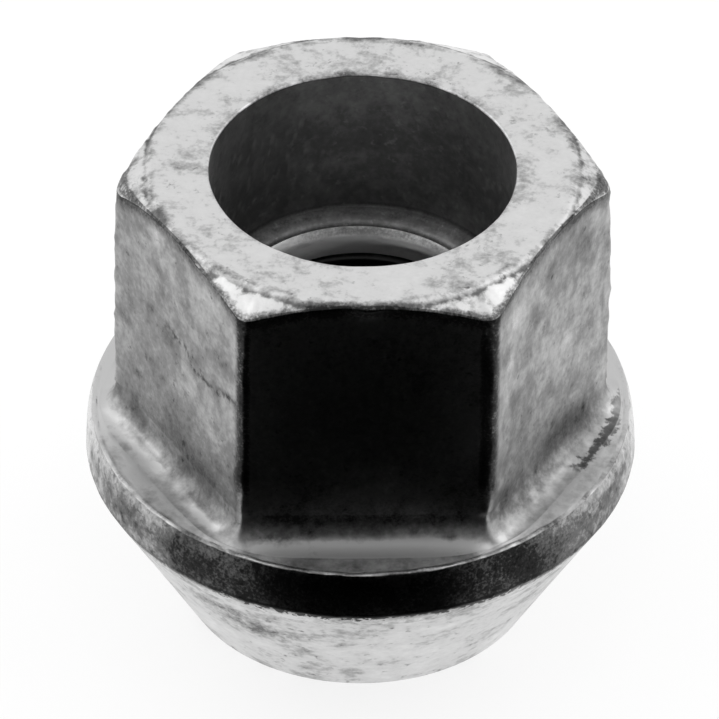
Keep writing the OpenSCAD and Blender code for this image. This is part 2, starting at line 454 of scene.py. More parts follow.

# wear and painted light and shade, coat by coat: what it does, the parts it lies on and its strength,
# where it fades in and out, and what it is multiplied by, as a base and a share of a pattern or zone
wearAndShadeCoats = [
    # pressed smooth by the mouth of the die
    ("pressed", "flat", 0.1, {"up": (11.78, 11.08)}, {}),
    ("pressed", "cove", 0.1, {}, {}),
    ("pressed", "cove", 1, {"up": (10.78, 9.78)}, {}),
    ("pressed", "collar", 1.1, {}, {}),
    ("pressed", "collar", 0.5, {"out": (10.8, 11.4)}, {}),
    ("pressed", "flash", 1, {}, {}),
    # dirt along the chamfer's edge
    ("stainedAndShaded", "brow", 0.75, {}, {"behind": (1, -0.85), "frontEdge": (1, 0.5), "patchy": (0.6, 0.7)}),
    ("stainedAndShaded", "edge", 0.8, {}, {"behind": (1, -0.85), "frontEdge": (1, 0.5), "patchy": (0.6, 0.7)}),
    ("stainedAndShaded", "flat", 0.7, {}, {"underEdge": (0, 1), "behind": (1, -0.85), "patchy": (0.6, 0.7)}),
    # drag marks above the cove
    ("stainedAndShaded", ["flat", "cove"], 0.04, {"up": (10.3, 10.9, 11.5, 12.3)}, {}),
    ("stainedAndShaded", ["flat", "cove"], 0.16, {"up": (10.3, 10.9, 11.5, 12.3), "uprights": (0.45, 0.75)}, {}),
    # scale on the band, thickest at the front
    ("stainedAndShaded", "band", 0.28, {"up": (7.75, 8.4, 9.1, 9.6), "fromFront": (82, 60)}, {"evenMix": (0.3, 0.8)}),
    ("stainedAndShaded", "band", 0.2, {"fromFront": (62, 30)}, {}),
    ("stainedAndShaded", "band", 0.35, {"fromFront": (52, 36)}, {"patchy": (0.4, 1)}),
    ("stainedAndShaded", "band", 0.15, {"turned": (-80, -70, -45, -30)}, {}),
    ("stainedAndShaded", "skirt", 0.15, {"up": (7.15, 7.5), "fromFront": (75, 45)}, {"fine": (0.5, 1)}),
    # painted shade on the front flat, standing in for the dark it reflects; the left flat's lower half is
    # darker; and painted shade in strips beside the front corners, for the dark that their rounding reflects
    ("stainedAndShaded", "flat", 0.3, {"fromFront": (29.5, 28)}, {}),
    ("stainedAndShaded", "flat", 0.22, {"up": (16, 12.5), "turned": (-180, -165, -121, -120.9)}, {}),
    ("stainedAndShaded", "flat", 1.1, {"up": (11.2, 13.5), "fromFront": (27.6, 28.7, 30.5, 32.6)},
     {"fine": (0.5, 0.5)}),
    # painted shade on the front cove, heavier higher up and with a ragged edge, and a little on the front
    # collar, standing in for the dark they reflect; painted shade on the upper part of the coves at the
    # sides, which moves their highlight towards the collar
    ("stainedAndShaded", "cove", 0.5, {"drip": (9.95, 11.1), "fromFront": (30, 24)}, {}),
    ("stainedAndShaded", "collar", 0.1, {"fromFront": (30, 22)}, {}),
    ("stainedAndShaded", "cove", 0.15, {"up": (9.88, 10.0, 10.6, 11.0), "fromFront": (30, 34)}, {}),
    # the chamfer: grey tips at the left and right, a dark border, and dirt at the back
    ("stainedAndShaded", ["chamfer", "brow"], 0.25, {"fromTip": (17, 9), "out": (9.7, 10.0)}, {}),
    ("stainedAndShaded", ["chamfer", "brow"], 0.3, {"fromTip": (9, 3), "out": (10.1, 10.5)}, {"atRight": (0.3, 0.7)}),
    ("stainedAndShaded", "chamfer", 0.9, {"inFromEdge": (0.45, 0.1)}, {"nearFront": (0.2, 0.8), "patchy": (0.5, 0.6)}),
    ("stainedAndShaded", "chamfer", 0.3, {"fromFront": (120, 135)}, {"patchy": (0, 1)}),
    # the flash: rubbed bright, partly a painted highlight along its ridge, and stained in patches at the
    # front
    ("stainedAndShaded", "flash", 0.3, {"fromFront": (80, 60)}, {}),
    ("stainedAndShaded", "flash", 0.4, {"fromFront": (80, 60), "patchy": (0.55, 0.35)}, {}),
    ("rubbedAndLit", "flash", 0.5, {}, {"patchy": (0.4, 1)}),
    ("rubbedAndLit", "flash", 0.5, {"fine": (0.4, 0.8)}, {"patchy": (0.4, 1)}),
    # painted highlight where the coves at the sides run out onto the collar, which lifts the shade where cove
    # meets collar and moves the coves' highlight outwards; painted light on the collar at the sides; and a
    # painted highlight on the foot of the front cove
    ("rubbedAndLit", "cove", 0.25, {"up": (9.95, 9.86), "fromFront": (30, 34)}, {"patchy": (0.5, 1)}),
    ("rubbedAndLit", "collar", 0.25, {"collarShare": (0.5, 0.1), "fromFront": (30, 34)}, {"patchy": (0.5, 1)}),
    ("rubbedAndLit", "collar", 0.3, {"fromFront": (30, 38)}, {}),
    ("rubbedAndLit", "cove", 0.75, {"up": (10.2, 9.95), "fromFront": (30, 22)}, {}),
    # painted sheen on the collar, cove and band towards the outline at the left and right
    ("rubbedAndLit", "collar", 0.7, {"fromFront": (74, 88)}, {}),
    ("rubbedAndLit", "cove", 0.5, {"up": (10.7, 10.0), "fromFront": (74, 88)}, {}),
    ("rubbedAndLit", "band", 0.4, {"fromFront": (74, 88)}, {}),
    # the band paler at the sides, most of all high up
    ("rubbedAndLit", "band", 0.08, {"fromFront": (38, 58)}, {}),
    ("rubbedAndLit", "band", 0.3, {"up": (8.7, 9.4), "fromFront": (38, 58)}, {}),
    # dull at the front, and in patches on the coves at the sides
    ("dulled", "cove", 0.3, {"up": (11.0, 10.4), "fromFront": (31, 26)}, {}),
    ("dulled", "collar", 0.3, {"fromFront": (31, 26)}, {}),
    ("dulled", "cove", 0.25, {"fromFront": (30, 34), "patchy": (0.4, 0.6)}, {}),
    ("dulled", "collar", 0.25, {"fromFront": (30, 34), "patchy": (0.4, 0.6), "collarShare": (0.35, 0.3)}, {}),
    # the recess's mouth is scuffed, most of all at the back
    ("stainedAndShaded", "rim", 0.05, {}, {"atBack": (0.3, 0.7)}),
    ("stainedAndShaded", "rim", 0.3, {}, {"atBack": (0.3, 0.7), "patchy": (0, 1)}),
    ("stainedAndShaded", ["rim", "end"], 0.04, {"out": (7.25, 6.9)}, {"atBack": (0.3, 0.7)}),
    ("stainedAndShaded", ["rim", "end"], 0.36, {"out": (7.25, 6.9), "coarseMix": (0.3, 0.8)}, {"atBack": (0.3, 0.7)}),
    # painted shade: the lip's bevel is darker at the back, and the thread's upper turns are darkened as shade
    # down the hole
    ("stainedAndShaded", "lip", 0.6, {"up": (14.8, 15), "turned": (20, 60, 105, 135)}, {}),
    ("stainedAndShaded", "thread", 1.5, {"up": (10.5, 12)}, {}),
    ("stainedAndShaded", "floor", 0.5, {"out": (6.05, 6.35)}, {"fine": (0.4, 1)}),
    # painted light on the recess's wall: paler towards its mouth, and in pale specks on its left and right
    ("rubbedAndLit", "recess", 0.25, {"up": (20.0, 22.3)}, {}),
    ("rubbedAndLit", "recess", 1, {"up": (16.5, 18.5, 20.5, 22.2), "turned": (95, 130), "specks": (0.6, 0.75)},
     {}),
    ("rubbedAndLit", "recess", 0.6, {"up": (16.5, 18.5, 20.5, 22.2), "turned": (55, 25), "specks": (0.6, 0.75)},
     {}),
]

leftFlat = -150
rightFlat = -30
frontFlat = -90
flatFrom = 9.2  # what lies this far out from the axis is on the flat

# how grainy the marks below are: a base and a share of the fine pattern
markGrain = {"coveGlints": (0.4, 0.9), "stains": (0.6, 0.6), "smudges": (0.3, 1.1)}

# painted highlights along the coves, with a painted flare by the front right corner: flat's angle, across and
# out at both ends, half width, strength
coveGlints = [
    (leftFlat, -4.6, 9.95, -1.0, 9.78, 0.08, 0.4), (leftFlat, -3.0, 10.26, -1.3, 10.32, 0.13, 0.5),
    (leftFlat, -0.65, 10.17, -0.3, 10.15, 0.1, 0.7), (leftFlat, 2.5, 10.28, 4.4, 10.16, 0.2, 0.55),
    (leftFlat, 4.3, 10.1, 4.7, 9.88, 0.14, 0.4), (rightFlat, -4.6, 9.95, -1.2, 9.85, 0.2, 0.2),
    (rightFlat, 0.3, 9.76, 5.4, 9.93, 0.22, 0.2), (rightFlat, -6.5, 9.9, -5.5, 10.25, 0.28, 1.2),
]

# stains on each of these flats: across, up, half width, half height, strength
# in this list and the next two, a strength below zero is a pale place
stains = {
    leftFlat: [
        (-4.3, 15.35, 0.9, 0.13, 0.35), (-2.15, 17.45, 0.28, 0.2, 0.4), (-2.1, 14.6, 0.38, 0.15, 0.45),
        (-1.2, 14.15, 0.3, 0.13, 0.3), (-0.1, 13.6, 0.4, 0.25, 0.25), (-3.3, 13.0, 0.3, 0.14, 0.35),
        (0.8, 17.3, 0.7, 0.12, 0.25), (1.35, 16.7, 0.15, 0.45, 0.3), (2.5, 16.6, 0.15, 0.17, 0.4),
        (3.5, 16.85, 0.5, 0.16, 0.5), (4.5, 17.15, 0.42, 0.17, 0.55), (2.8, 18.6, 0.18, 0.14, 0.4),
        (3.6, 14.9, 0.3, 0.16, 0.25), (2.1, 12.3, 0.18, 0.14, 0.35), (3.8, 12.5, 0.16, 0.14, 0.35),
        (0.5, 11.8, 0.16, 0.28, 0.35), (0.7, 10.85, 0.3, 0.25, 0.25), (1.6, 11.2, 0.25, 0.35, 0.25),
        (-1.0, 10.85, 0.2, 0.3, 0.25), (-3.2, 11.0, 0.6, 0.4, 0.12), (3.2, 11.2, 0.4, 0.3, 0.15),
        (0.4, 21.8, 0.5, 0.4, 0.25), (-2.7, 21.4, 0.25, 0.2, 0.25), (-1.9, 20.5, 0.2, 0.16, 0.25),
        (-1.0, 16.9, 1.6, 0.45, 0.15), (2.0, 19.5, 1.6, 1.3, -0.14), (5.3, 20.3, 0.3, 0.9, -0.2),
        (-4.0, 14.0, 1.0, 0.5, -0.12),
    ],
    rightFlat: [
        (-0.4, 21.1, 0.5, 0.5, 0.3), (1.1, 19.3, 0.14, 0.13, 0.4), (3.1, 20.5, 0.25, 0.25, 0.25),
        (-1.4, 18.9, 0.3, 0.3, 0.35), (-0.7, 18.2, 0.16, 0.35, 0.4), (-2.0, 17.4, 0.2, 0.13, 0.5),
        (-3.7, 16.4, 0.4, 0.4, 0.35), (-2.4, 16.2, 0.8, 0.35, 0.3), (-1.7, 15.6, 0.2, 0.14, 0.4),
        (-2.2, 18.2, 0.7, 0.8, 0.2), (3.6, 15.4, 0.3, 0.12, 0.35), (2.1, 13.1, 0.22, 0.25, 0.35),
        (0.4, 12.1, 0.13, 0.13, 1.2), (1.1, 11.2, 1.5, 0.5, 0.4), (-1.3, 10.7, 0.14, 0.25, 0.35),
        (3.2, 11.1, 0.16, 0.4, 0.25), (-3.9, 10.9, 0.4, 0.4, 0.15), (3.1, 10.2, 0.2, 0.2, 0.15),
        (4.75, 16.0, 0.09, 0.9, 0.3), (4.95, 14.7, 0.1, 0.2, 0.4), (2.2, 20.0, 1.1, 1.6, 0.12),
        (-3.6, 20.8, 0.6, 0.6, -0.25), (-3.8, 18.6, 0.45, 0.6, -0.3), (-0.6, 16.4, 0.9, 0.8, -0.25),
        (1.5, 15.9, 0.8, 0.5, -0.2), (4.2, 18.0, 0.4, 0.9, -0.22), (0.9, 22.2, 0.9, 0.3, -0.15),
        (-1.5, 14.8, 1.6, 0.4, -0.15),
    ],
    frontFlat: [
        (-3.9, 10.05, 0.85, 0.14, 0.7), (3.8, 10.1, 0.3, 0.14, 0.6), (-2.6, 10.25, 0.25, 0.2, 0.4),
        (2.2, 10.3, 0.2, 0.16, 0.35),
    ],
}

# smudges on the end face: angle, radius, half length round the axis, half width, strength
endSmudges = [
    (179, 8.1, 0.35, 1.0, 0.3), (190, 8.1, 0.5, 0.5, -0.15), (76, 9.1, 0.9, 0.3, 0.35),
    (20, 9.4, 0.25, 0.4, 0.6), (12, 9.5, 0.2, 0.25, 0.4), (128, 9.0, 0.3, 0.15, 0.3),
    (118, 8.8, 0.2, 0.12, 0.3), (150, 9.5, 0.5, 0.15, 0.4), (60, 7.4, 0.5, 0.2, 0.25),
    (-63, 8.9, 0.8, 0.14, 0.35), (-50, 9.2, 1.2, 0.14, 0.3), (-36, 8.3, 0.5, 0.3, 0.2),
    (-112, 9.2, 1.0, 0.14, 0.3), (-128, 9.3, 1.0, 0.17, 0.35), (-141, 9.2, 0.8, 0.2, 0.35),
    (-161, 9.4, 0.6, 0.2, 0.4), (-75, 9.2, 0.9, 0.14, 0.25), (-30, 9.3, 0.7, 0.2, 0.3),
    (5, 8.8, 0.5, 0.4, -0.15),
]

# smudges and dashes on the seat: angle, height, half length round the axis, half height, strength
seatSmudges = [
    (-115, 4.5, 1.8, 0.6, 0.75), (-122, 5.6, 1.2, 0.4, 0.55), (-105, 3.2, 0.5, 0.3, 0.35),
    (-52, 6.2, 1.2, 0.25, 0.5), (-48, 5.0, 1.0, 0.35, 0.4), (-52, 2.8, 0.8, 0.3, 0.4),
    (-93, 1.4, 0.6, 0.3, 0.4), (-80, 2.0, 0.4, 0.25, 0.3), (-100, 5.2, 0.3, 0.16, 0.45),
    (-95, 4.4, 0.3, 0.16, 0.45), (-88, 6.0, 0.3, 0.16, 0.4), (-85, 4.9, 0.2, 0.16, 0.4),
    (-108, 2.5, 0.3, 0.17, 0.5), (-107, 1.3, 0.25, 0.17, 0.5), (-110, 3.6, 0.25, 0.16, 0.5),
    (-75, 4.0, 0.3, 0.18, 0.35), (-70, 5.8, 0.6, 0.18, 0.3), (-125, 5.3, 0.8, 0.2, -0.3),
    (-95, 3.4, 1.2, 0.5, -0.2), (-70, 3.0, 1.0, 0.5, -0.2), (-127, 5.6, 2.2, 1.0, 0.35),
    (-130, 3.6, 1.2, 0.7, 0.3), (60, 4.6, 1.4, 0.5, 0.45), (110, 2.7, 0.8, 0.4, 0.4),
    (150, 5.4, 1.0, 0.3, 0.4), (15, 3.8, 0.7, 0.4, 0.4),
]


def wearAndShadeMeasures(spec, places, rows, turn):
    # what the coats are laid by: places on the nut in millimetres or degrees, and patterns from 0 to 1
    parts = np.array([part for part, r, z in rows])
    rowRadius = np.array([r for part, r, z in rows])
    up = places[:, :, 2]
    out = np.hypot(places[:, :, 0], places[:, :, 1])
    turned = np.degrees((turn + tau / 2) % tau - tau / 2)[:, None]
    flatTop = np.max(np.where(parts == "flat", up, 0), axis=1)[:, None]
    edgeOut = np.max(np.where(parts == "edge", out, 0), axis=1)[:, None]
    coveFoot = spec["flatDist"] + spec["coveReach"]
    at = {
        "up": up, "out": out, "turned": turned,
        "fromFront": np.abs((turned + 270) % 360 - 180),
        "fromTip": np.minimum(np.abs(turned), 180 - np.abs(turned)),
        "collarShare": np.clip((rowRadius - coveFoot) / (spec["collarEdge"] - coveFoot), 0, 1),
        "underEdge": np.clip(1 - (flatTop - up) / edgeDirtMm, 0, 1),
        "inFromEdge": edgeOut - out,
    }
    for name, (size, shift, stretch) in wearAndShadePatterns.items():
        at[name] = 0.5 + 0.5 * noiseAt(places * np.array([1, 1, stretch]), size, shift)
    for name, mix in wearAndShadeMixes.items():
        at[name] = sum(share * at[pattern] for pattern, share in mix.items())
    for name, (measure, span) in wearAndShadeZones.items():
        at[name] = fade(span, at[measure])
    # the ragged edge of the painted shade on the front cove
    at["drip"] = up + sum(share * (at[pattern] - 0.5) for pattern, share in raggedUpShares.items())
    return parts, at


def faceOn(places, angle):
    # distance across a flat from its middle, and out from the axis
    facing = math.radians(angle)
    across = -places[:, :, 0] * math.sin(facing) + places[:, :, 1] * math.cos(facing)
    out = places[:, :, 0] * math.cos(facing) + places[:, :, 1] * math.sin(facing)
    return across, out


def paintWearAndShade(spec, places, rows, turn):
    # red: pressed by the die's mouth, green: stained dark and painted shade, blue: rubbed bright and painted
    # light, alpha: dulled
    parts, at = wearAndShadeMeasures(spec, places, rows, turn)
    painted = {does: np.zeros(places.shape[:2]) for does in ("pressed", "stainedAndShaded", "rubbedAndLit", "dulled")}
    for does, on, strength, within, times in wearAndShadeCoats:
        coat = strength * np.isin(parts, on)
        for measure, span in within.items():
            coat = coat * fade(span, at[measure])
        for pattern, (base, share) in times.items():
            coat = coat * (base + share * at[pattern])
        painted[does] += coat
    painted["dulled"] += dulledByPress * painted["pressed"]
    grain = {marks: base + share * at["fine"] for marks, (base, share) in markGrain.items()}

    def addMark(on, spot, strength):
        painted["stainedAndShaded" if strength > 0 else "rubbedAndLit"] += spot * abs(strength) * np.isin(parts, on)

    def smudge(on, angle, radius, halfLong, aside, halfWide, strength):
        arc = np.radians((at["turned"] - angle + 180) % 360 - 180) * radius
        addMark(on, np.exp(-(arc / halfLong) ** 2 - (aside / halfWide) ** 2) * grain["smudges"], strength)

    for angle, out, halfLong, halfWide, strength in endSmudges:
        smudge(("end", "chamfer"), angle, out, halfLong, at["out"] - out, halfWide, strength)
    for angle, up, halfLong, halfHigh, strength in seatSmudges:
        smudge(("seat",), angle, at["out"], halfLong, at["up"] - up, halfHigh, strength)
    # painted highlights along the coves
    for angle, fromAcross, fromOut, toAcross, toOut, halfWide, strength in coveGlints:
        along, out = faceOn(places, angle)
        share = np.clip((along - fromAcross) / (toAcross - fromAcross), 0, 1)
        aside = out - fromOut - share * (toOut - fromOut)
        past = along - fromAcross - share * (toAcross - fromAcross)
        glint = np.exp(-(aside / halfWide) ** 2 - (past / halfWide) ** 2) * grain["coveGlints"]
        addMark(("cove", "collar"), glint, -strength)
    for angle, marks in stains.items():
        along, out = faceOn(places, angle)
        for across, up, halfWide, halfHigh, strength in marks:
            spot = np.exp(-((along - across) / halfWide) ** 2 - ((at["up"] - up) / halfHigh) ** 2)
            addMark(("flat", "cove"), spot * (out > flatFrom) * grain["stains"], strength)
    return np.clip(np.stack(list(painted.values()), axis=-1), 0, wearAndShadeMost)


bpy.ops.object.select_all(action="DESELECT")
rows = nutOutline(nutSpec, rowSteps)
columns = 6 * nutSpec["columnsPerFlat"]
bpy.ops.mesh.primitive_circle_add(vertices=len(rows), radius=mm)
nut = bpy.context.object
nut.name = "lug_nut_forging"
section = [(r * mm, 0, z * mm) for part, r, z in rows]
nut.data.vertices.foreach_set("co", np.array(section).ravel())
bpy.ops.object.mode_set(mode="EDIT")
bpy.ops.mesh.select_all(action="SELECT")
bpy.ops.mesh.spin(steps=columns, angle=-tau, use_auto_merge=False, center=(0, 0, 0), axis=(0, 0, 1))
bpy.ops.object.mode_set(mode="OBJECT")
print("blank turned:", len(nut.data.vertices), "points")

radius, height, turn = pressNut(nutSpec, rows, columns)
places = np.stack([radius * np.cos(turn)[:, None], radius * np.sin(turn)[:, None], height], axis=-1)
places = roughenNut(roughSpec, places, rows, turn)
nut.data.vertices.foreach_set("co", (places * mm).ravel())
print("hexagon pressed, thread tapped, surface roughened")

wearAndShade = nut.data.attributes.new("wearAndShade", "FLOAT_COLOR", "POINT")
wearAndShade.data.foreach_set("color", paintWearAndShade(nutSpec, places, rows, turn).ravel())
print("wear painted")


# materials: one recipe, a dictionary for each finish
# cloud, mottle, grain and dust are drawn coarser than zinc's own crystals, which don't show at this distance
finishes = {
    # hexagon and collar: drawn through the die and plated, grey with cloudy blotches
    "forged": {
        "name": "zinc_plated_steel_cold_forged",
        "shades": ("#141414", "#383838", "#888888", "#d4d4d4"), "pressedLift": 0.18,
        "cloudMm": 4.0, "mottleMm": 1.3, "grainMm": 0.32, "stretch": (1, 1, 1),
        "contrast": 0.7, "roughness": (0.24, 0.42), "bumpMm": 0.012,
        "pitMm": 0.45, "pitFrom": 0.63, "pitDepth": 0.35, "marks": ("scratch", "chip"),
    },
    # the end face: sheared flat and plated, the palest part, with short grey scuffs
    "end": {
        "name": "zinc_plated_steel_sheared",
        "shades": ("#3a3a3a", "#7e7e7e", "#e6e6e6", "#f4f4f4"), "pressedLift": 0,
        "cloudMm": 3.0, "mottleMm": 0.8, "grainMm": 0.25, "stretch": (0.95, 1.05, 1),
        "contrast": 0.8, "roughness": (0.3, 0.45), "bumpMm": 0.012,
        "pitMm": 0.4, "pitFrom": 0.62, "pitDepth": 0.35, "marks": ("crease",),
    },
    # the band below the flash: trimmed, so it is torn, pitted and darker
    "band": {
        "name": "zinc_plated_steel_trimmed",
        "shades": ("#0e0e0e", "#2c2c2c", "#707070", "#d4d4d4"), "pressedLift": 0.15,
        "cloudMm": 2.4, "mottleMm": 0.5, "grainMm": 0.22, "stretch": (1, 1, 1),
        "contrast": 0.8, "roughness": (0.28, 0.45), "bumpMm": 0.015,
        "pitMm": 0.45, "pitFrom": 0.55, "pitDepth": 0.28, "marks": ("teeth",),
    },
    # the seat: coined smooth and plated, pale with thin dark dashes
    "seat": {
        "name": "zinc_plated_steel_coined",
        "shades": ("#363636", "#6e6e6e", "#d6d6d6", "#ececec"), "pressedLift": 0,
        "cloudMm": 3.6, "mottleMm": 1.3, "grainMm": 0.3, "stretch": (0.9, 0.9, 1.15),
        "contrast": 0.85, "roughness": (0.3, 0.45), "bumpMm": 0.012,
        "pitMm": 0.5, "pitFrom": 0.61, "pitDepth": 0.4, "marks": (),
    },
    # the recess: punched, with the punch's dull dark scale and pale specks
    "recess": {
        "name": "zinc_plated_steel_punched",
        "shades": ("#2c2c2c", "#5c5c5c", "#808080", "#c0c0c0"), "pressedLift": 0,
        "cloudMm": 2.5, "mottleMm": 0.7, "grainMm": 0.25, "stretch": (1, 1, 1),
        "contrast": 0.6, "roughness": (0.45, 0.6), "bumpMm": 0.015,
        "pitMm": 0.45, "pitFrom": 0.6, "pitDepth": -0.3, "marks": (),
    },
    # the lip round the hole: countersunk, so it is cut bright
    "lip": {
        "name": "bare_steel_countersunk",
        "shades": ("#606060", "#a8a8a8", "#ececec", "#fafafa"), "pressedLift": 0,
        "cloudMm": 2.5, "mottleMm": 0.7, "grainMm": 0.25, "stretch": (0.6, 0.6, 2),
        "contrast": 0.7, "roughness": (0.32, 0.42), "bumpMm": 0.008,
        "pitMm": 0.4, "pitFrom": 0.7, "pitDepth": 0.3, "marks": (),
    },
    # the thread: tapped after plating, bare cut steel with a film of oil; its shades are drawn dark, which
    # paints the shade down the hole
    "thread": {
        "name": "bare_steel_tapped",
        "shades": ("#0a0a0a", "#202020", "#606060", "#8a8a8a"), "pressedLift": 0,
        "cloudMm": 2.5, "mottleMm": 0.6, "grainMm": 0.2, "stretch": (0.5, 0.5, 2),
        "contrast": 0.8, "roughness": (0.25, 0.4), "bumpMm": 0.006,
        "pitMm": 0.4, "pitFrom": 0.7, "pitDepth": 0.3, "marks": (),
    },
}

finishOfPart = {
    "thread": "thread", "lip": "lip", "floor": "recess", "recess": "recess", "rim": "end", "end": "end",
    "chamfer": "end", "brow": "end", "edge": "forged", "flat": "forged", "cove": "forged", "collar": "forged",
    "flash": "forged", "band": "band", "skirt": "band", "seat": "seat", "foot": "seat",
}

# the recipe's own values: noise, how the tone is put together, and what each kind of wear and of painted
# light and shade does to it
noiseLooks = {
    "cloud": {"Detail": 5, "Roughness": 0.58, "Distortion": 0.5},
    "mottle": {"Detail": 4, "Roughness": 0.58, "Distortion": 0.3},
    "grain": {"Detail": 3, "Roughness": 0.6},
    "pit": {"Detail": 3, "Roughness": 0.6},
}
toneSpec = {
    "grainShare": 0.6, "middle": 1.3, "halfRange": 0.42,
    "dust": {"Scale": 1 / (0.13 * mm), "Detail": 2, "Roughness": 0.6},  # specks in the stains and in the painted shade
    "speckle": {"From Min": 0.7, "From Max": 1.3, "To Min": 0.45, "To Max": 1.55},
    "stainAndShade": -0.7, "rubAndLight": 0.7, "pitSpan": 0.14, "pressedPits": -0.75, "rubbedAndLitGloss": -0.1,
    "rampFrom": -0.5, "rampStops": (0, 0.333, 0.633, 1),
}

# the fold between shoulder and chamfer: radii and half widths in millimetres, and changes of tone
creaseSpec = {
    "wander": 0.5, "shoulder": (9.2, 9.65), "chamfer": (9.85, 10.15), "chamferLift": 0.22,
    "spots": (0.38, 0.62), "spotDepth": (-0.26, -0.04),
    "fold": 9.88, "foldHalf": (0.01, 0.16), "foldSpots": (0.4, 0.6), "foldDepth": (-0.1, -0.4),
}

# the ragged edge of the band's scale, deepest at the front: heights and reaches in millimetres, and tones
teethSpec = {
    "grain": 1.3, "mottle": 1.5, "front": (-11.8, -9.8), "depth": (-0.9, -0.18), "edge": (8.68, 8.8),
    "bare": 0.36, "below": (7.75, 7.5),
}

# a ragged scratch across the left flat: places across and up, in millimetres
scratchSpec = {
    "course": [(-1.6, 17.5), (0.2, 17.4), (0.9, 17.25), (1.3, 16.75), (2.5, 16.6), (3.5, 16.8), (4.5, 17.1),
               (5.3, 17.2)],
    "low": 16, "high": 18, "wander": 0.9, "halfWidth": (0.03, 0.26), "depth": -0.3,
    "gaps": (0.42, 0.54), "gapShare": 0.05, "begins": 1.5, "ends": 0.4, "outside": (9.2, 9.3),
}

# a torn strip on the collar at the right, which runs out towards the flash: degrees and millimetres
chipSpec = {
    "turn": (-25, -1), "out": (10.95, 11.85), "wander": 0.5, "widthTurn": (-25, 7), "halfWidth": (0.46, 0.34),
    "looseTurn": (-25, -9), "loose": 0.35, "grain": 2.4, "edge": (2.1, 1.7), "depth": -0.55,
    "begins": (-28, -26), "ends": (6, 4), "below": (10.4, 10.1), "inside": (11.76, 11.68),
}


def addCrease(tree, maps, level):
    # the shoulder is greyer, and a dark fold divides it from the chamfer
    spec = creaseSpec
    out = addNode(tree, "Math", multiplyAdd, (maps["mottle"], spec["wander"] * mm, maps["away"]))
    shoulder = addNode(tree, "MapRange", {"interpolation_type": "SMOOTHSTEP"}, {
        "Value": out, "From Min": spec["shoulder"][0] * mm, "From Max": spec["shoulder"][1] * mm})
    chamfer = addNode(tree, "MapRange", {"interpolation_type": "SMOOTHSTEP"}, {
        "Value": out, "From Min": spec["chamfer"][0] * mm, "From Max": spec["chamfer"][1] * mm,
        "To Max": spec["chamferLift"]})
    spotted = addNode(tree, "MapRange", {}, (maps["mottle"], *spec["spots"], *spec["spotDepth"]))
    greyed = addNode(tree, "Math", multiplyAdd, (shoulder, spotted, level))
    cleared = addNode(tree, "Math", addUp, (greyed, chamfer))
    fromFold = addNode(tree, "Math", subtract, (out, spec["fold"] * mm))
    foldAway = addNode(tree, "Math", absolute, (fromFold,))
    fold = addNode(tree, "MapRange", {}, {
        "Value": foldAway, "From Min": spec["foldHalf"][1] * mm, "From Max": spec["foldHalf"][0] * mm})
    foldDepth = addNode(tree, "MapRange", {}, (maps["cloud"], *spec["foldSpots"], *spec["foldDepth"]))
    return addNode(tree, "Math", multiplyAdd, (fold, foldDepth, cleared))


def addTeeth(tree, maps, level):
    # the dark scale ends above the seat in a ragged edge, with bare plating between its teeth
    spec = teethSpec
    fineEdge = addNode(tree, "Math", multiplyAdd, (maps["grain"], spec["grain"] * mm, maps["Z"]))
    uneven = addNode(tree, "Math", multiplyAdd, (maps["mottle"], spec["mottle"] * mm, fineEdge))
    depth = addNode(tree, "MapRange", {}, (maps["Y"], *[y * mm for y in spec["front"]], *spec["depth"]))
    teeth = addNode(tree, "MapRange", {}, (uneven, *[z * mm for z in spec["edge"]], spec["bare"], depth))
    low = addNode(tree, "MapRange", {}, (maps["Z"], *[z * mm for z in spec["below"]]))
    return addNode(tree, "Math", multiplyAdd, (teeth, low, level))


def addScratch(tree, maps, level):
    # a chain of dark specks along a bent course
    spec = scratchSpec
    facing = math.radians(leftFlat)
    start = spec["course"][0][0]
    end = spec["course"][-1][0]
    rise = spec["high"] - spec["low"]
    across = addNode(tree, "VectorMath", {"operation": "DOT_PRODUCT"}, (
        maps["coords"], (-math.sin(facing), math.cos(facing), 0))).outputs["Value"]
    out = addNode(tree, "VectorMath", {"operation": "DOT_PRODUCT"}, (
        maps["coords"], (math.cos(facing), math.sin(facing), 0))).outputs["Value"]
    along = addNode(tree, "MapRange", {}, (across, start * mm, end * mm))
    bends = addNode(tree, "FloatCurve", {}, {"Value": along})
    points = bends.mapping.curves[0].points
    spots = [((a - start) / (end - start), (up - spec["low"]) / rise) for a, up in spec["course"]]
    points[0].location = spots[0]
    points[1].location = spots[-1]
    for spot in spots[1:-1]:
        points.new(*spot)
    bends.mapping.update()
    lowest = (spec["low"] - spec["wander"] / 2) * mm
    risen = addNode(tree, "Math", multiplyAdd, (bends, rise * mm, lowest))
    ragged = addNode(tree, "Math", multiplyAdd, (maps["mottle"], spec["wander"] * mm, risen))
    offLine = addNode(tree, "Math", subtract, (maps["Z"], ragged))
    aside = addNode(tree, "Math", absolute, (offLine,))
    cut = addNode(tree, "MapRange", {}, (aside, *[half * mm for half in spec["halfWidth"]], spec["depth"], 0))
    gaps = addNode(tree, "MapRange", {}, (maps["grain"], *spec["gaps"], 1, spec["gapShare"]))
    begun = addNode(tree, "MapRange", {}, (across, start * mm, (start + spec["begins"]) * mm))
    done = addNode(tree, "MapRange", {}, (across, end * mm, (end - spec["ends"]) * mm))
    onFlat = addNode(tree, "MapRange", {}, (out, *[far * mm for far in spec["outside"]]))
    for share in (gaps, begun, done, onFlat):
        cut = addNode(tree, "Math", multiply, (cut, share))
    return addNode(tree, "Math", addUp, (level, cut))


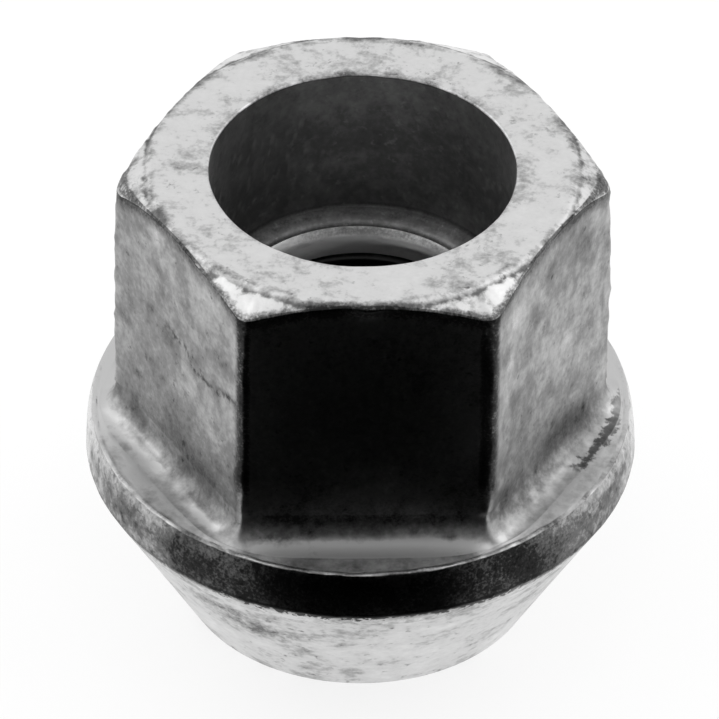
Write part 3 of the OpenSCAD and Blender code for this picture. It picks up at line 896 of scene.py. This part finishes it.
def addChip(tree, maps, level):
    # the strip's edge is torn, and it breaks up towards its near end
    spec = chipSpec
    angle = addNode(tree, "Math", {"operation": "ARCTAN2"}, (maps["Y"], maps["X"]))
    turns = {name: [math.radians(a) for a in spec[name]] for name in ("turn", "widthTurn", "looseTurn")}
    radii = [r * mm for r in spec["out"]]
    course = addNode(tree, "MapRange", {"clamp": False}, (angle, *turns["turn"], *radii))
    out = addNode(tree, "Math", multiplyAdd, (maps["mottle"], spec["wander"] * mm, maps["away"]))
    offCourse = addNode(tree, "Math", subtract, (out, course))
    aside = addNode(tree, "Math", absolute, (offCourse,))
    half = addNode(tree, "MapRange", {}, (angle, *turns["widthTurn"], *[w * mm for w in spec["halfWidth"]]))
    inside = addNode(tree, "Math", {"operation": "DIVIDE"}, (aside, half))
    broken = addNode(tree, "MapRange", {}, (angle, *turns["looseTurn"], spec["loose"], 0))
    loose = addNode(tree, "Math", addUp, (inside, broken))
    torn = addNode(tree, "Math", multiplyAdd, (maps["grain"], spec["grain"], loose))
    strip = addNode(tree, "MapRange", {}, (torn, *spec["edge"]))
    limits = [(angle, name, tau / 360) for name in ("begins", "ends")]
    limits += [(maps["Z"], "below", mm), (maps["away"], "inside", mm)]
    for place, name, unit in limits:
        limit = addNode(tree, "MapRange", {}, (place, *[end * unit for end in spec[name]]))
        strip = addNode(tree, "Math", multiply, (strip, limit))
    return addNode(tree, "Math", multiplyAdd, (strip, spec["depth"], level))


markMakers = {"crease": addCrease, "teeth": addTeeth, "scratch": addScratch, "chip": addChip}


def zincFinish(spec, tone):
    # tone in clouds, mottle and grain
    material, tree = newMaterial(spec["name"])
    coords = addNode(tree, "TexCoord", {}, {}).outputs["Object"]
    drawn = addNode(tree, "Mapping", {}, {"Vector": coords, "Scale": spec["stretch"]})
    maps = {"coords": coords}
    for name, look in noiseLooks.items():
        scale = 1 / (spec[name + "Mm"] * mm)
        maps[name] = addNode(tree, "TexNoise", {}, {"Vector": drawn, "Scale": scale, **look})
    dust = addNode(tree, "TexNoise", {}, {"Vector": coords, **tone["dust"]})
    both = addNode(tree, "Math", addUp, (maps["cloud"], maps["mottle"]))
    whole = addNode(tree, "Math", multiplyAdd, (maps["grain"], tone["grainShare"], both))
    halfRange = tone["halfRange"] / spec["contrast"]
    level = addNode(tree, "MapRange", {"clamp": False}, {
        "Value": whole, "From Min": tone["middle"] - halfRange, "From Max": tone["middle"] + halfRange})

    # wear and painted light and shade, from the points, then pits
    wearAndShadeNode = addNode(tree, "Attribute", {"attribute_name": "wearAndShade"}, {})
    shares = addNode(tree, "SeparateColor", {}, {"Color": wearAndShadeNode}).outputs
    specks = addNode(tree, "Math", addUp, (dust, maps["mottle"]))
    speckle = addNode(tree, "MapRange", {"clamp": False}, {"Value": specks, **tone["speckle"]})
    speckled = addNode(tree, "Math", multiply, (shares["Green"], speckle))
    pits = addNode(tree, "MapRange", {}, (maps["pit"], spec["pitFrom"], spec["pitFrom"] + tone["pitSpan"]))
    unpressed = addNode(tree, "Math", multiplyAdd, (shares["Red"], tone["pressedPits"], 1))
    openPits = addNode(tree, "Math", multiply, (pits, unpressed))
    changes = ((shares["Red"], spec["pressedLift"]), (speckled, tone["stainAndShade"]), (shares["Blue"], tone["rubAndLight"]),
               (openPits, -spec["pitDepth"]))
    for share, change in changes:
        level = addNode(tree, "Math", multiplyAdd, (share, change, level))

    # marks that have a place of their own
    xyz = addNode(tree, "SeparateXYZ", {}, {"Vector": coords}).outputs
    flatXy = addNode(tree, "CombineXYZ", {}, {"X": xyz["X"], "Y": xyz["Y"]})
    maps.update({axis: xyz[axis] for axis in "XYZ"})
    maps["away"] = addNode(tree, "VectorMath", {"operation": "LENGTH"}, (flatXy,)).outputs["Value"]
    for mark in spec["marks"]:
        level = markMakers[mark](tree, maps, level)

    # colour, gloss and bump
    spread = addNode(tree, "MapRange", {}, {"Value": level, "From Min": tone["rampFrom"]})
    ramp = addNode(tree, "ValToRGB", {}, {"Fac": spread})
    stops = ramp.color_ramp.elements
    while len(stops) < len(tone["rampStops"]):
        stops.new(0.5)
    for stop, place, shade in zip(stops, tone["rampStops"], spec["shades"]):
        stop.position = place
        stop.color = hexToLinear(shade)
    glossy, dull = spec["roughness"]
    gloss = addNode(tree, "MapRange", {}, {"Value": level, "To Min": dull, "To Max": glossy})
    dulled = addNode(tree, "Math", addUp, (wearAndShadeNode.outputs["Alpha"], gloss))
    polished = addNode(tree, "Math", multiplyAdd, (shares["Blue"], tone["rubbedAndLitGloss"], dulled))
    bump = addNode(tree, "Bump", {}, {"Strength": 1, "Distance": spec["bumpMm"] * mm, "Height": whole})
    shader = addNode(tree, "BsdfPrincipled", {}, {
        "Base Color": ramp, "Metallic": 1, "Roughness": polished, "Normal": bump})
    addNode(tree, "OutputMaterial", {}, {"Surface": shader})
    return material


finishNames = list(finishes)
for name in finishNames:
    nut.data.materials.append(zincFinish(finishes[name], toneSpec))
corners = np.zeros(len(nut.data.loops), dtype=np.int32)
nut.data.loops.foreach_get("vertex_index", corners)
faceRows = corners.reshape(-1, 4) % len(rows)
firstRow = faceRows.min(axis=1)
firstRow = np.where(faceRows.max(axis=1) - firstRow > 1, len(rows) - 1, firstRow)
finishOfRow = np.array([finishNames.index(finishOfPart[part]) for part, r, z in rows], dtype=np.int32)
nut.data.polygons.foreach_set("material_index", finishOfRow[firstRow])
print("finishes laid on")

mergeMm = 0.0005
sharpDeg = 38
bpy.ops.object.mode_set(mode="EDIT")
bpy.ops.mesh.select_all(action="SELECT")
bpy.ops.mesh.remove_doubles(threshold=mergeMm * mm)
bpy.ops.mesh.normals_make_consistent(inside=False)
bpy.ops.object.mode_set(mode="OBJECT")
bpy.ops.object.shade_smooth_by_angle(angle=math.radians(sharpDeg))
print("nut closed:", len(nut.data.vertices), "points,", len(nut.data.polygons), "faces")

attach(nut, "root")
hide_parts("lug_nut")

# floor: pale paper that stays white to the camera and in the metal, and takes the nut's shadow
floorSpec = {"size": 2, "paper": "#8f8f8f", "glow": 0.78}


def floorPaper(spec):
    material, tree = newMaterial("matt_white_paper")
    paths = addNode(tree, "LightPath", {}, {}).outputs
    seen = addNode(tree, "Math", {"operation": "MAXIMUM"}, (paths["Is Camera Ray"], paths["Is Glossy Ray"]))
    through = addNode(tree, "Math", {"operation": "MAXIMUM"}, (seen, paths["Is Transmission Ray"]))
    strength = addNode(tree, "Math", multiply, (through, spec["glow"]))
    glow = addNode(tree, "Emission", {}, {"Strength": strength})
    paper = addNode(tree, "BsdfDiffuse", {}, {"Color": hexToLinear(spec["paper"])})
    both = addNode(tree, "AddShader", {}, (paper, glow))
    addNode(tree, "OutputMaterial", {}, {"Surface": both})
    return material


bpy.ops.object.select_all(action="DESELECT")
bpy.ops.mesh.primitive_plane_add(size=floorSpec["size"])
floor = bpy.context.object
floor.name = "floor"
floor.data.materials.append(floorPaper(floorSpec))

# flags: black cards in front of the nut, seen only in its reflections, as the dark side of a studio is
# the near one stands barely higher than the nut, so that the end face stays pale from every side
flagSpecs = [
    {"name": "near_flag", "section": [(15, 0.2), (18, 0.2), (18, 24.5)], "halfDeg": 31},
    {"name": "upper_flag", "section": [(120, 115), (120, 225)], "halfDeg": 33},
]
flagBlack = "#020202"
flagSteps = 24


def addFlag(spec):
    bpy.ops.object.select_all(action="DESELECT")
    bpy.ops.mesh.primitive_plane_add(size=mm)
    card = bpy.context.object
    card.name = spec["name"]
    bpy.ops.object.mode_set(mode="EDIT")
    bpy.ops.mesh.select_all(action="SELECT")
    bpy.ops.mesh.merge(type="CENTER")
    half = math.radians(spec["halfDeg"])
    aside = Vector((-math.sin(half), -math.cos(half), 0))
    corners = [(aside * away + Vector((0, 0, up))) * mm for away, up in spec["section"]]
    bpy.ops.transform.translate(value=corners[0])
    for last, following in zip(corners, corners[1:]):
        bpy.ops.mesh.extrude_region_move(TRANSFORM_OT_translate={"value": following - last})
    bpy.ops.mesh.select_all(action="SELECT")
    bpy.ops.mesh.spin(steps=flagSteps, angle=-2 * half, center=(0, 0, 0), axis=(0, 0, 1))
    bpy.ops.object.mode_set(mode="OBJECT")
    material, tree = newMaterial("black_flock_card")
    cloth = addNode(tree, "BsdfDiffuse", {}, {"Color": hexToLinear(flagBlack)})
    addNode(tree, "OutputMaterial", {}, {"Surface": cloth})
    card.data.materials.append(material)
    for ray in ("camera", "diffuse", "transmission", "volume_scatter", "shadow"):
        setattr(card, "visible_" + ray, False)


for flagSpec in flagSpecs:
    addFlag(flagSpec)
print("floor and flags set")

# light: an even white room and two large soft lamps, at the left and the right
lightSpec = {
    "room": 0.8, "lampWatts": 0.35, "lampSize": 0.45,
    "lampPlaces": [(-0.42, 0.12, 0.42), (0.42, 0.12, 0.42)],
}
world = bpy.data.worlds.new("white_room")
bpy.context.scene.world = world
world.use_nodes = True
roomTree = world.node_tree
roomTree.nodes.clear()
roomPaths = addNode(roomTree, "LightPath", {}, {}).outputs
roomStrength = addNode(roomTree, "MapRange", {}, {
    "Value": roomPaths["Is Camera Ray"], "To Min": lightSpec["room"], "To Max": 1})
room = addNode(roomTree, "Background", {}, {"Color": hexToLinear("#ffffff"), "Strength": roomStrength})
addNode(roomTree, "OutputWorld", {}, {"Surface": room})
for lampPlace in lightSpec["lampPlaces"]:
    bpy.ops.object.light_add(type="AREA", location=lampPlace)
    lamp = bpy.context.object
    lamp.data.shape = "SQUARE"
    lamp.data.size = lightSpec["lampSize"]
    lamp.data.energy = lightSpec["lampWatts"]
    lamp.rotation_euler = Vector(lampPlace).to_track_quat("Z", "Y").to_euler()
print("light set")

# camera: looks down on the nut, nearly square to one flat of the hexagon
cameraSpec = {
    "distance": 600 * mm,
    "elevation": 39.41,
    "azimuth": -1.2,
    "roll": 0.54,
    "target": (0, 0, 11 * mm),
    "pxPerMm": 22.487,
    "framePx": 719,
    "targetPx": (360.7, 379.8),  # where the target stands in the frame
    "sensor": 36,
    "clip": (0.01, 10),
}


def addCamera(spec):
    tilt = math.radians(spec["elevation"])
    side = math.radians(spec["azimuth"])
    roll = math.radians(spec["roll"])
    level = Vector((math.cos(side), math.sin(side), 0))
    front = Vector((math.sin(side), -math.cos(side), 0))
    back = front * math.cos(tilt) + Vector((0, 0, math.sin(tilt)))
    upright = back.cross(level)
    right = level * math.cos(roll) + upright * math.sin(roll)
    up = upright * math.cos(roll) - level * math.sin(roll)
    middle = spec["framePx"] / 2
    acrossMm = (middle - spec["targetPx"][0]) / spec["pxPerMm"]
    upMm = (spec["targetPx"][1] - middle) / spec["pxPerMm"]
    place = Vector(spec["target"]) + back * spec["distance"] + (right * acrossMm + up * upMm) * mm
    bpy.ops.object.camera_add()
    camera = bpy.context.object
    turned = Matrix((right, up, back)).transposed().to_4x4()
    camera.matrix_world = Matrix.Translation(place) @ turned
    focalPx = spec["pxPerMm"] * spec["distance"] / mm
    camera.data.sensor_width = spec["sensor"]
    camera.data.lens = focalPx / spec["framePx"] * spec["sensor"]
    camera.data.clip_start, camera.data.clip_end = spec["clip"]
    bpy.context.scene.camera = camera
    print("camera placed")


bpy.context.scene.view_settings.view_transform = "Standard"
addCamera(cameraSpec)
